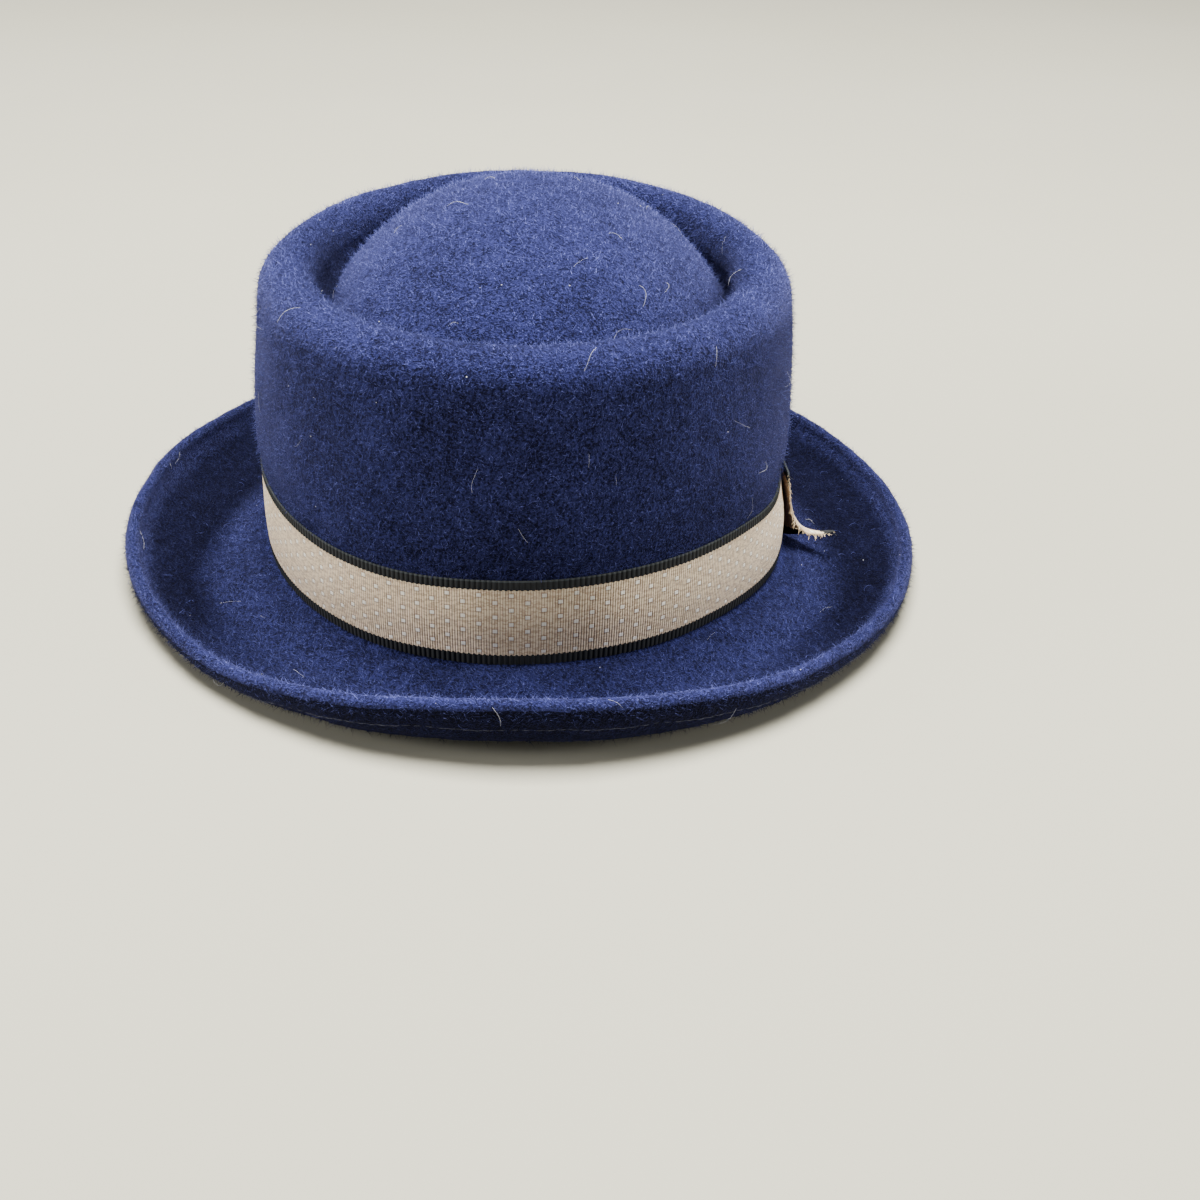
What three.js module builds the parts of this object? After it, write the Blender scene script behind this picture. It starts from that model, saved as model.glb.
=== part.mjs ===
// A pork-pie hat: one blocked felt body (crown and brim), a woven ribbon round the crown, and a flat
// ribbon bow at the wearer's left. Millimetres, +Z up. The hat rests on the plane z = 0, its front
// looks along -Y and the wearer's left is +X. The origin is below the middle of the crown.
import * as THREE from "three";

// ---- Driving dimensions -------------------------------------------------------------------------
const FELT = 2.4; // felt thickness
const WELT = 2.0; // the felt turned over at the rim adds this on the outside
const WELT_ROWS = 3; // rows of the roll, counted from the rim, that the welt covers
const SEGMENTS = 56; // facets round the hat
const CROWN_HALF_WIDTH = 85; // outside of the crown at its foot, left to right
const CROWN_HALF_LENGTH = 102; // the same, front to back
const RIM_HALF_WIDTH = 131.6; // outside of the brim's edge
const RIM_HALF_LENGTH = 145.2;
const BREAK_HEIGHT = 7; // where the crown's wall meets the brim
const WALL_TAPER = -0.4; // how far the wall leans out (+) or in (-) at its top
const WALL_BULGE = 2.2; // how far the wall swells at half height
const RING_RADIUS = 10.8; // rounded ring on top of the wall, outer half
const RING_INNER_RADIUS = 8.1; // its inner half, which turns down into the moat
const MOAT_HEIGHT = 81.8; // bottom of the moat above the rest plane
const MOAT_WIDTH = 1.2; // flat bottom of the moat
const MOAT_LEAN = 0.5; // how much the moat narrows from the ring down
const DOME_HEIGHT = 121.4; // top of the dome above the rest plane
const DOME_SHIFT = 1.7; // the dome sits this far to the wearer's left
const DOME_FULLNESS = 0.72; // 1 is a parabola, 0.5 an ellipse
const BREAK_RADIUS = 1.0; // small fillet between wall and brim
const SLOPE_WIDTH = 19; // brim that slopes down from the break to the flat ring it rests on
const ROLL_WIDTH = 16; // brim that curls up to the rim

const RIBBON = 1.2; // thickness of the band
const RIBBON_WIDTH = 28.9;
const BOW_RIBBON = 1.0; // thickness of the ribbon in the bow
const GAP = 0.35; // clearance between pieces that lie on each other

// Heights above the rest plane that vary round the hat: evenly spaced stations, from the wearer's
// left by way of the back, the right and the front.
const RIM_TOP = [
  { at: "left", height: 10.0 },
  { at: "back left", height: 13.2 },
  { at: "back", height: 16.6 },
  { at: "back right", height: 14.8 },
  { at: "right", height: 14.2 },
  { at: "front right", height: 10.4 },
  { at: "front", height: 20.4 },
  { at: "front left", height: 12.6 },
];
const WALL_TOP = [
  { at: "left", height: 89.8 },
  { at: "back", height: 91.6 },
  { at: "right", height: 88.8 },
  { at: "front", height: 89.7 },
];
const BAND_FOOT = [
  { at: "left", height: 9.2 },
  { at: "back", height: 9.0 },
  { at: "right", height: 7.9 },
  { at: "front", height: 7.9 },
];

// The bow, by angle round the crown from the wearer's left towards the back.
// `opening` is the angle in which the pinched ribbon opens to its full width.
const BOW = { cutEnd: -0.165, knotFront: 0.27, knotBack: 0.41, loopEnd: 0.84, opening: 0.16 };
const WAIST_HALF_HEIGHT = 9.5; // the ribbon is pinched to this at the knot
const LOOP_PUFF = 4.5; // how far the loop's outer layer stands off at its fullest
// The tail's cut end, from its top corner down and out over the brim: distance out from the
// crown's foot oval, and height above the break.
const CUT_END = [
  { out: 4.2, up: 24.6 },
  { out: 5.0, up: 18.5 },
  { out: 5.6, up: 12.0 },
  { out: 7.0, up: 6.2 },
  { out: 10.6, up: 2.2 },
  { out: 15.6, up: 2.4 },
  { out: 20.4, up: 4.4 },
];

// ---- Shared geometry ----------------------------------------------------------------------------
const TURN = 2 * Math.PI;
const mix = (a, b, k) => a + (b - a) * k;
const smooth = (k) => k * k * (3 - 2 * k);
const clamp01 = (k) => Math.min(1, Math.max(0, k));

// The height at angle t from a table of stations, on a smooth closed curve through all of them.
function levelAt(stations, t) {
  const count = stations.length;
  const place = ((((t / TURN) * count) % count) + count) % count;
  const from = Math.floor(place);
  const [a, b, c, d] = [-1, 0, 1, 2].map((step) => stations[(from + step + count) % count].height);
  const k = place - from;
  const bend = (2 * a - 5 * b + 4 * c - d) * k + (3 * b - a - 3 * c + d) * k * k;
  return b + (k / 2) * (c - a + bend);
}

// How far the crown's wall stands outside its foot oval at a height above the rest plane.
function wallOffset(height, t) {
  const k = (height - BREAK_HEIGHT) / (levelAt(WALL_TOP, t) - BREAK_HEIGHT);
  return WALL_TAPER * k + WALL_BULGE * 4 * k * (1 - k);
}

// A point at angle t on the oval that lies `out` outside the crown's foot oval.
function onOval(out, height, t) {
  return new THREE.Vector3(
    (CROWN_HALF_WIDTH + out) * Math.cos(t),
    (CROWN_HALF_LENGTH + out) * Math.sin(t),
    height,
  );
}

// Unit normals of a grid of points, by the directions of its rows and columns.
function gridNormals(rows, closedColumns) {
  const last = rows.length - 1;
  return rows.map((row, i) =>
    row.map((_, j) => {
      const n = row.length;
      const before = closedColumns ? (j + n - 1) % n : Math.max(j - 1, 0);
      const after = closedColumns ? (j + 1) % n : Math.min(j + 1, n - 1);
      const along = row[after].clone().sub(row[before]);
      const across = rows[Math.min(i + 1, last)][j].clone().sub(rows[Math.max(i - 1, 0)][j]);
      return across.cross(along).normalize();
    }),
  );
}

// Moves every point of a grid along its normal.
function offsetGrid(rows, normals, distance) {
  return rows.map((row, i) => row.map((p, j) => p.clone().addScaledVector(normals[i][j], distance)));
}

// A closed surface from loops of points: each loop joins the next, and the last joins the first.
function torusGeometry(loops) {
  const count = loops[0].length;
  const index = [];
  loops.forEach((_, i) => {
    const next = (i + 1) % loops.length;
    for (let j = 0; j < count; j += 1) {
      const k = (j + 1) % count;
      const [a, b, c, d] = [i * count + j, i * count + k, next * count + k, next * count + j];
      index.push(a, c, b, a, d, c);
    }
  });
  return pointsToGeometry(loops.flat(), index);
}

function pointsToGeometry(points, index) {
  const geometry = new THREE.BufferGeometry().setFromPoints(points);
  geometry.setIndex(index);
  geometry.computeVertexNormals();
  return geometry;
}

// ---- Felt body ----------------------------------------------------------------------------------
// The outside of the crown as rows of points, from near the dome's top down to the break. Each row
// is a function of the angle t that gives one point.
function crownRows() {
  const rows = [];
  const ringCentre = WALL_TAPER - RING_RADIUS;
  const ringInside = ringCentre - RING_INNER_RADIUS;
  const moatOutside = ringInside - MOAT_LEAN;
  const domeEdge = moatOutside - MOAT_WIDTH;
  const row = (out, height, shift = 0) => (t) => {
    const point = onOval(out, typeof height === "number" ? height : height(t), t);
    return point.setX(point.x + shift);
  };

  const domeSteps = 8;
  for (let i = 1; i <= domeSteps; i += 1) {
    const r = Math.sin(((i / domeSteps) * Math.PI) / 2);
    const height = mix(MOAT_HEIGHT, DOME_HEIGHT, (1 - r * r) ** DOME_FULLNESS);
    rows.push((t) => onOval(domeEdge, 0, t).multiplyScalar(r).add(new THREE.Vector3(DOME_SHIFT, 0, height)));
  }
  rows.push(row(moatOutside, MOAT_HEIGHT, DOME_SHIFT));
  const halfDeep = (t) => mix(MOAT_HEIGHT, levelAt(WALL_TOP, t), 0.6);
  rows.push(row(ringInside - MOAT_LEAN / 2, halfDeep, DOME_SHIFT * 0.4));

  const ringSteps = 9;
  for (let i = 0; i <= ringSteps; i += 1) {
    const angle = Math.PI * (1 - i / ringSteps);
    const radius = Math.cos(angle) < 0 ? RING_INNER_RADIUS : RING_RADIUS;
    const lift = RING_RADIUS * Math.sin(angle);
    rows.push(row(ringCentre + radius * Math.cos(angle), (t) => levelAt(WALL_TOP, t) + lift));
  }

  const wallSteps = 5;
  for (let i = 1; i <= wallSteps; i += 1) {
    const height = (t) => mix(levelAt(WALL_TOP, t), BREAK_HEIGHT + BREAK_RADIUS, i / wallSteps);
    rows.push((t) => onOval(wallOffset(height(t), t), height(t), t));
  }
  return rows;
}

// The top of the brim: down from the break, flat where the hat rests, and up inside the roll.
const SLOPE_STEPS = 4;
const ROLL_STEPS = 6;
function brimRows() {
  const rows = [];
  for (let i = 0; i <= SLOPE_STEPS; i += 1) {
    const k = i / SLOPE_STEPS;
    const height = mix(BREAK_HEIGHT, FELT, smooth(k));
    rows.push((t) => onOval(mix(BREAK_RADIUS, SLOPE_WIDTH, k), height, t));
  }
  for (let i = 0; i <= ROLL_STEPS; i += 1) {
    const angle = ((i / ROLL_STEPS) * Math.PI) / 2;
    const inset = FELT + WELT + ROLL_WIDTH * (1 - Math.sin(angle));
    rows.push((t) => {
      const top = levelAt(RIM_TOP, t) - (FELT + WELT) / 2;
      return new THREE.Vector3(
        (RIM_HALF_WIDTH - inset) * Math.cos(t),
        (RIM_HALF_LENGTH - inset) * Math.sin(t),
        mix(top, FELT, Math.cos(angle)),
      );
    });
  }
  return rows;
}

// The rounded edge at the rim: half a circle from the inner face over to the outer one.
function rimEdge(inner, outer) {
  return [0.2, 0.5, 0.8].map((k) => {
    const angle = Math.PI * k;
    const rise = ((FELT + WELT) / 2) * Math.sin(angle);
    return inner.map((p, j) => {
      const point = p.clone().lerp(outer[j], (1 - Math.cos(angle)) / 2);
      return point.setZ(point.z + rise);
    });
  });
}

// One closed shell: the outside, the rounded rim, and the inside at the felt's thickness, with the
// welt's step below the rim.
function feltBodyGeometry() {
  const crown = crownRows();
  const angles = Array.from({ length: SEGMENTS }, (_, j) => (TURN * j) / SEGMENTS);
  const outside = [...crown, ...brimRows()].map((row) => angles.map(row));
  const normals = gridNormals(outside, true);
  const inside = offsetGrid(outside, normals, -FELT);
  const restRow = crown.length + SLOPE_STEPS;
  [restRow, restRow + 1].forEach((i) => inside[i].forEach((p) => p.setZ(0)));
  const weltFrom = outside.length - WELT_ROWS;
  const welt = offsetGrid(outside.slice(weltFrom), normals.slice(weltFrom), -FELT - WELT);

  const edge = rimEdge(outside.at(-1), welt.at(-1));
  const loops = [...outside, ...edge, ...welt.reverse(), ...inside.slice(0, weltFrom + 1).reverse()];
  const top = new THREE.Vector3(DOME_SHIFT, 0, DOME_HEIGHT);
  const points = [top, ...loops.flat(), top.clone().setZ(DOME_HEIGHT - FELT)];
  const index = [];
  const at = (i, j) => 1 + i * SEGMENTS + (j % SEGMENTS);
  for (let j = 0; j < SEGMENTS; j += 1) {
    index.push(0, at(0, j), at(0, j + 1));
    for (let i = 0; i < loops.length - 1; i += 1) {
      index.push(at(i, j), at(i + 1, j), at(i + 1, j + 1), at(i, j), at(i + 1, j + 1), at(i, j + 1));
    }
    index.push(points.length - 1, at(loops.length - 1, j + 1), at(loops.length - 1, j));
  }
  return pointsToGeometry(points, index);
}

// ---- Ribbon band --------------------------------------------------------------------------------
// A closed ring that follows the wall: two skins of ribbon, joined at the top and bottom borders.
function bandGeometry() {
  const steps = 3;
  const skin = (out) =>
    Array.from({ length: steps + 1 }, (_, i) =>
      Array.from({ length: SEGMENTS }, (__, j) => {
        const t = (TURN * j) / SEGMENTS;
        const height = levelAt(BAND_FOOT, t) + (RIBBON_WIDTH * i) / steps;
        return onOval(wallOffset(height, t) + out, height, t);
      }),
    );
  const inner = skin(GAP);
  const outer = skin(GAP + RIBBON).reverse();
  return torusGeometry([...outer, ...inner]);
}

// ---- Bow ----------------------------------------------------------------------------------------
const BAND_OUTSIDE = GAP + RIBBON;
const LAYER = BOW_RIBBON + GAP; // one layer of bow ribbon with its clearance
const bandMiddle = (t) => levelAt(BAND_FOOT, t) + RIBBON_WIDTH / 2;

// A ribbon solid from the grid of its middle surface: rows run along the ribbon.
function ribbonGeometry(rows) {
  const normals = gridNormals(rows, false);
  const front = offsetGrid(rows, normals, BOW_RIBBON / 2);
  const back = offsetGrid(rows, normals, -BOW_RIBBON / 2);
  const loops = rows.map((_, i) => [...front[i], ...back[i].reverse()]);
  const count = loops[0].length;
  const index = [];
  for (let i = 0; i < loops.length - 1; i += 1) {
    for (let j = 0; j < count; j += 1) {
      const k = (j + 1) % count;
      const [a, b, c, d] = [i * count + j, i * count + k, (i + 1) * count + k, (i + 1) * count + j];
      index.push(a, c, b, a, d, c);
    }
  }
  const last = (loops.length - 1) * count;
  for (let j = 0; j < count / 2 - 1; j += 1) {
    const [a, b, c, d] = [j, j + 1, count - 2 - j, count - 1 - j];
    index.push(a, b, c, a, c, d, last + a, last + c, last + b, last + a, last + d, last + c);
  }
  return pointsToGeometry(loops.flat(), index);
}

// Half the ribbon's height at an angle past the knot's edge: pinched inside it, then full width.
function halfHeight(past) {
  return mix(WAIST_HALF_HEIGHT, RIBBON_WIDTH / 2, smooth(clamp01(past / BOW.opening)));
}

// The tail: flat against the band behind, its free end flared into the curve of CUT_END.
function tailGeometry() {
  const curve = new THREE.CatmullRomCurve3(CUT_END.map(({ out, up }) => new THREE.Vector3(out, 0, up)));
  const across = 10;
  const along = 18;
  const waist = mix(BOW.knotFront, BOW.knotBack, 0.85);
  const rows = Array.from({ length: along + 1 }, (_, i) => {
    const t = mix(waist, BOW.cutEnd, i / along);
    const past = BOW.knotFront - t;
    const flare = smooth(clamp01((past - 0.22) / (BOW.knotFront - BOW.cutEnd - 0.22))) ** 6;
    const lift = mix(2 * LAYER, 0, smooth(clamp01(past / BOW.opening)));
    return Array.from({ length: across + 1 }, (__, j) => {
      const height = bandMiddle(t) + mix(1, -1, j / across) * halfHeight(past);
      const rest = wallOffset(height, t) + BAND_OUTSIDE + GAP + BOW_RIBBON / 2 + lift;
      const flared = curve.getPoint(j / across);
      return onOval(mix(rest, flared.x, flare), mix(height, BREAK_HEIGHT + flared.z, flare), t);
    });
  });
  return ribbonGeometry(rows);
}

// The loop: out along the outer layer, round a fold at the back, and home along the inner layer.
function loopGeometry() {
  const across = 6;
  const along = 9;
  const waist = mix(BOW.knotFront, BOW.knotBack, 0.15);
  const inner = BAND_OUTSIDE + LAYER + GAP + BOW_RIBBON / 2;
  const outer = inner + 2 * LAYER;
  const stations = [];
  for (let i = 0; i <= along; i += 1) stations.push({ share: i / along, layer: 1 });
  for (let i = 1; i <= 3; i += 1) stations.push({ share: 1, layer: Math.cos((Math.PI * i) / 4) });
  for (let i = along; i >= 0; i -= 1) stations.push({ share: i / along, layer: -1 });
  const rows = stations.map(({ share, layer }) => {
    const middle = (inner + outer) / 2;
    const turned = (Math.sqrt(1 - layer * layer) * (outer - inner)) / 2;
    const t = mix(waist, BOW.loopEnd, share) + turned / CROWN_HALF_LENGTH;
    const puff = LOOP_PUFF * Math.sin(Math.PI * clamp01((t - BOW.knotBack) / (BOW.loopEnd - BOW.knotBack)));
    return Array.from({ length: across + 1 }, (_, j) => {
      const height = bandMiddle(t) + mix(1, -1, j / across) * halfHeight(t - BOW.knotBack);
      const out = middle + (layer * (outer - inner)) / 2 + (layer > 0 ? puff * layer : 0);
      return onOval(wallOffset(height, t) + out, height, t);
    });
  });
  return ribbonGeometry(rows);
}

// The knot: a narrow strip that wraps once round the waist of the bow, between it and the band.
function knotGeometry() {
  const steps = 3;
  const loops = Array.from({ length: steps + 1 }, (_, i) => {
    const t = mix(BOW.knotFront, BOW.knotBack, i / steps);
    return [0, -BOW_RIBBON].map((inset) => knotOutline(t, inset));
  });
  const outside = loops.map(([outer]) => outer);
  const inside = loops.map(([, inner]) => inner).reverse();
  return torusGeometry([...outside, ...inside]);
}

// A rounded rectangle round the waist, seen along the ribbon, drawn in or out by `inset`.
function knotOutline(t, inset) {
  const low = BAND_OUTSIDE + GAP - inset;
  const high = BAND_OUTSIDE + GAP + BOW_RIBBON * 2 + 3 * LAYER + GAP + inset;
  const half = WAIST_HALF_HEIGHT + GAP + BOW_RIBBON + inset;
  const corner = 1.6 + inset;
  const points = [];
  const corners = [
    { out: high - corner, up: half - corner, from: 0 },
    { out: low + corner, up: half - corner, from: Math.PI / 2 },
    { out: low + corner, up: -half + corner, from: Math.PI },
    { out: high - corner, up: -half + corner, from: 1.5 * Math.PI },
  ];
  corners.forEach(({ out, up, from }) => {
    [0, 0.5, 1].forEach((k) => {
      const angle = from + (k * Math.PI) / 2;
      const height = bandMiddle(t) + up + corner * Math.sin(angle);
      points.push(onOval(wallOffset(height, t) + out + corner * Math.cos(angle), height, t));
    });
  });
  return points;
}

// ---- The hat ------------------------------------------------------------------------------------
const wool = new THREE.MeshStandardMaterial({ color: 0x1b2a5e, roughness: 0.95, metalness: 0 });
const ribbon = new THREE.MeshStandardMaterial({ color: 0xb79d86, roughness: 0.45, metalness: 0 });

function piece(name, geometry, material) {
  const mesh = new THREE.Mesh(geometry, material.clone());
  mesh.name = name;
  return mesh;
}

const hat = new THREE.Group();
hat.add(piece("felt_body", feltBodyGeometry(), wool));
hat.add(piece("hat_band", bandGeometry(), ribbon));
hat.add(piece("bow_tail", tailGeometry(), ribbon));
hat.add(piece("bow_loop", loopGeometry(), ribbon));
hat.add(piece("bow_knot", knotGeometry(), ribbon));

export default hat;
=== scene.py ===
"""Looks of the pork-pie felt hat: fine felt shell, nap, woven ribbon band and bow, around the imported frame.

Sizes are in millimetres in the frame of the part (+Z up, the front looks along -Y, +X is the wearer's left),
and mesh_object turns them into metres. Angles t go round the hat from the wearer's left by way of the back.
"""
import math
import bpy
import numpy as np
from mathutils import Matrix, Vector


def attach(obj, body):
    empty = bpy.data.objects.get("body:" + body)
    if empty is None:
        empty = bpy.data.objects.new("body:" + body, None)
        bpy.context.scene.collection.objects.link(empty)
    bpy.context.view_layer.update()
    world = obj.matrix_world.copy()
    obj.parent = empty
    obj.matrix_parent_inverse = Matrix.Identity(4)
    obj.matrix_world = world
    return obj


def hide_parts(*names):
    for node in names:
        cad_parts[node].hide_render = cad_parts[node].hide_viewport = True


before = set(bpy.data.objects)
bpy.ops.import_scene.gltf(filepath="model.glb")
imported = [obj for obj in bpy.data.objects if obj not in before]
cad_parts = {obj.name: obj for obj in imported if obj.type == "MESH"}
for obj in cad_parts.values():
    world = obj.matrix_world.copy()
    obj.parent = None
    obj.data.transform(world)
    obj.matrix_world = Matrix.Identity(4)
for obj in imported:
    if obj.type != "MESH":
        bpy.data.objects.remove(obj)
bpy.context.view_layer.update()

MM = 0.001
TURN = 2 * np.pi
rng = np.random.default_rng(57)  # the only source of random draws but for waves, which has its own seeds

# ---- Sizes: the part's, but for the ribbon's thickness and gaps and the tail's cut end ----
FELT, WELT = 2.4, 2.0  # the felt, and what the welt adds outside it at the rim
CROWN_HALF_WIDTH, CROWN_HALF_LENGTH = 85.0, 102.0
RIM_HALF_WIDTH, RIM_HALF_LENGTH = 131.6, 145.2
BREAK_HEIGHT = 7.0
WALL_TAPER, WALL_BULGE = -0.4, 2.2
RING_RADIUS, RING_INNER_RADIUS = 10.8, 8.1
MOAT_HEIGHT, MOAT_WIDTH, MOAT_LEAN = 81.8, 1.2, 0.5
DOME_HEIGHT, DOME_SHIFT, DOME_FULLNESS = 121.4, 1.7, 0.72
BREAK_RADIUS, SLOPE_WIDTH, ROLL_WIDTH = 1.0, 19.0, 16.0
BAND_GAP, RIBBON = 0.12, 0.45  # felt to band, and the band's thickness
BOW_RIBBON, GAP = 0.6, 0.2  # the bow's ribbon, and the clearance between its layers
RIBBON_WIDTH = 28.9
BORDER_LOW, BORDER_HIGH = 3.5, 25.8  # where the dark borders end, up the ribbon's width
RIB = 0.785  # pitch of the ribbon's fine ribs; the borders' ribs are twice as wide
# Heights at evenly spaced stations round the hat.
RIM_TOP = (10.0, 13.2, 16.6, 14.8, 14.2, 10.4, 20.4, 12.6)
WALL_TOP = (89.8, 91.6, 88.8, 89.7)
BAND_FOOT = (9.2, 9.0, 7.9, 7.9)
# The bow: angles, and the angle in which the pinched ribbon opens to its full width.
CUT_END_AT, KNOT_FRONT, KNOT_BACK, LOOP_END, OPENING = -0.165, 0.27, 0.41, 0.84, 0.16
WAIST_HALF_HEIGHT, LOOP_PUFF = 9.5, 4.5
# The tail's cut end, from its top corner down: out from the crown's foot oval, and up from the break.
CUT_END = ((3.4, 24.4), (4.2, 18.5), (5.2, 12.4), (7.2, 7.2), (11.0, 3.6), (15.8, 3.4), (20.4, 4.9))

# Where the felt and the band give. Each row: how far, the angle in its middle, its half width as an angle.
DIPS = ((1.5, 4.2, 0.78), (2.6, -0.3, 0.62))
SWELLS = ((0.7, 4.0, 0.8), (0.7, -0.85, 0.6), (2.3, -0.25, 0.6))
SLACKS = ((1.0, 4.0, 0.6), (4.0, -0.13, 0.6), (0.6, 3.2, 0.35))
SLACK_ALL_ROUND = 0.8
SQUEEZE = 0.6  # how far the band's upper part draws the felt in
SQUEEZES = ((1.3, -0.2, 0.6),)

# ---- Fineness of the felt's grid: columns round the hat, and rows from the dome's top outwards ----
COLUMNS = 300
DOME_STEPS, RING_STEPS, WALL_STEPS, SLOPE_STEPS, ROLL_STEPS = 30, 26, 34, 12, 18
MOAT_SHARES = (0.35, 0.7, 1.0)
RING_SIDE_SHARES = (0.12, 0.25, 0.4, 0.55, 0.7, 0.85)
MOAT_ROW = DOME_STEPS + len(MOAT_SHARES)  # the moat's outer side
WALL_ROW = MOAT_ROW + len(RING_SIDE_SHARES) + RING_STEPS + 1  # the wall's top
WELT_ROWS = 9  # rows at the rim that the welt covers


# ---- Shape functions ----
def mix(a, b, k):
    return a + (b - a) * k


def smooth(k):
    k = np.clip(k, 0, 1)
    return k * k * (3 - 2 * k)


def level_at(stations, t):
    """Height at angle t on a smooth closed curve through the stations."""
    s = np.asarray(stations, float)
    place = (np.asarray(t) / TURN * len(s)) % len(s)
    i = np.floor(place).astype(int)
    k = place - i
    a, b, c, d = (s[(i + step) % len(s)] for step in (-1, 0, 1, 2))
    return b + k / 2 * (c - a + (2 * a - 5 * b + 4 * c - d) * k + (3 * b - a - 3 * c + d) * k * k)


def hump(t, middle, half_width):
    """1 at an angle, and smoothly 0 at half_width from it."""
    return smooth(1 - np.abs((np.asarray(t) - middle + np.pi) % TURN - np.pi) / half_width)


def humps(t, table, start=0):
    return sum((size * hump(t, middle, half_width) for size, middle, half_width in table), start)


def dip(t):
    """How far the break, and the band on it, sags below its height: at the front right and front left."""
    return humps(t, DIPS)


def swell(t):
    """How far the foot of the wall stands out where the band is slack: most beside the bow's cut end."""
    return humps(t, SWELLS)


def band_foot(t):
    return level_at(BAND_FOOT, t) - dip(t)


def slack_top(t):
    """How far the band's top edge lies below its full width over the foot, where the ribbon sags."""
    return humps(t, SLACKS, SLACK_ALL_ROUND)


def band_height(y, t, more=0):
    """Height of the band at y up its width."""
    return band_foot(t) + y + more - slack_top(t) * smooth(y / RIBBON_WIDTH)


def wall_offset(height, t):
    """How far outside the crown's foot oval the wall is."""
    k = (height - BREAK_HEIGHT) / (level_at(WALL_TOP, t) - BREAK_HEIGHT)
    above = height - band_foot(t)
    # The slack fades out from the band's foot up. The band's upper part draws the felt in, up to just above it.
    slack = swell(t) * (1 - smooth((above + 2) / 36))
    drawn_in = humps(t, SQUEEZES, SQUEEZE)
    squeeze = drawn_in * smooth((above - 8) / 16) * smooth((RIBBON_WIDTH + 7 - above) / 6.5)
    return WALL_TAPER * k + WALL_BULGE * 4 * k * (1 - k) + slack - squeeze


def on_oval(out, height, t):
    """Points this far outside the crown's foot oval."""
    out, height, t = np.broadcast_arrays(out, height, t)
    return np.stack([(CROWN_HALF_WIDTH + out) * np.cos(t), (CROWN_HALF_LENGTH + out) * np.sin(t), height], -1)


def grid_normals(grid, closed):
    """Unit normals of a grid of points, rows by columns."""
    if closed:
        along = np.roll(grid, -1, 1) - np.roll(grid, 1, 1)
    else:
        along = np.gradient(grid, axis=1)
    across = np.gradient(grid, axis=0)
    n = np.cross(across, along)
    return n / np.maximum(np.linalg.norm(n, axis=2, keepdims=True), 1e-12)


def waves(seed, shortest, longest, count=28):
    """A smooth random field of points in space, about -1 to 1, with waves of these lengths in mm."""
    r = np.random.default_rng(seed)
    k = r.normal(size=(count, 3))
    k /= np.linalg.norm(k, axis=1, keepdims=True)
    k *= (TURN / np.exp(r.uniform(np.log(shortest), np.log(longest), count)))[:, None]
    phase = r.uniform(0, TURN, count)

    def field(points):
        flat = points.reshape(-1, 3)
        total = np.zeros(len(flat))
        for row, p in zip(k, phase):
            total += np.sin(flat @ row + p)
        return (total * math.sqrt(2 / count) * 0.6).reshape(points.shape[:-1])

    return field


# ---- Felt shell ----
def crown_grid(t):
    """Rows from the dome's top by way of the moat, the ring and the wall to the break."""
    rows = []
    ring_centre = WALL_TAPER - RING_RADIUS
    ring_inside = ring_centre - RING_INNER_RADIUS
    moat_outside = ring_inside - MOAT_LEAN
    dome_edge = moat_outside - MOAT_WIDTH
    top = level_at(WALL_TOP, t)
    shift = np.array([DOME_SHIFT, 0, 0])

    for i in range(1, DOME_STEPS + 1):
        r = math.sin(i / DOME_STEPS * math.pi / 2)
        height = mix(MOAT_HEIGHT, DOME_HEIGHT, (1 - r * r) ** DOME_FULLNESS)
        p = on_oval(dome_edge, 0.0, t) * r
        rows.append(p + shift + np.array([0, 0, height]))
    # The moat: down the dome's edge, round its narrow bottom and up the ring's inner side.
    for k in MOAT_SHARES:
        height = MOAT_HEIGHT - 0.25 * math.sin(math.pi * k)
        rows.append(on_oval(mix(dome_edge, moat_outside, k), height, t) + shift)
    for k in RING_SIDE_SHARES:
        out = ring_inside - MOAT_LEAN * (1 - k) ** 2
        rows.append(on_oval(out, mix(MOAT_HEIGHT, top, k), t) + shift * (1 - k))
    for i in range(RING_STEPS + 1):
        angle = math.pi * (1 - i / RING_STEPS)
        radius = RING_INNER_RADIUS if math.cos(angle) < 0 else RING_RADIUS
        rows.append(on_oval(ring_centre + radius * math.cos(angle), top + RING_RADIUS * math.sin(angle), t))
    wall_foot = 2.2  # above the break
    low = BREAK_HEIGHT + wall_foot - dip(t)
    for i in range(1, WALL_STEPS + 1):
        height = mix(top, low, i / WALL_STEPS)
        rows.append(on_oval(wall_offset(height, t), height, t))
    fillet_width, fillet_height = 1.9, 2.0
    foot = wall_offset(low, t)
    for angle in (20, 45, 70):
        a = math.radians(angle)
        rows.append(on_oval(foot + fillet_width * (1 - math.cos(a)), low - fillet_height * math.sin(a), t))
    return np.stack(rows)


def brim_grid(t):
    """The brim from the break to the rim, and the row from which it rests."""
    rows = []
    for i in range(SLOPE_STEPS + 1):
        k = i / SLOPE_STEPS
        out = mix(BREAK_RADIUS + 1.4 + swell(t), SLOPE_WIDTH, k)
        rows.append(on_oval(out, mix(BREAK_HEIGHT - dip(t), FELT, smooth(k)), t))
    top = level_at(RIM_TOP, t) - (FELT + WELT) / 2
    for i in range(ROLL_STEPS + 1):
        angle = i / ROLL_STEPS * math.pi / 2
        inset = FELT + WELT + ROLL_WIDTH * (1 - math.sin(angle))
        x, y = (RIM_HALF_WIDTH - inset) * np.cos(t), (RIM_HALF_LENGTH - inset) * np.sin(t)
        rows.append(np.stack([x, y, mix(top, FELT, math.cos(angle))], -1))
    return np.stack(rows), SLOPE_STEPS


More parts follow.
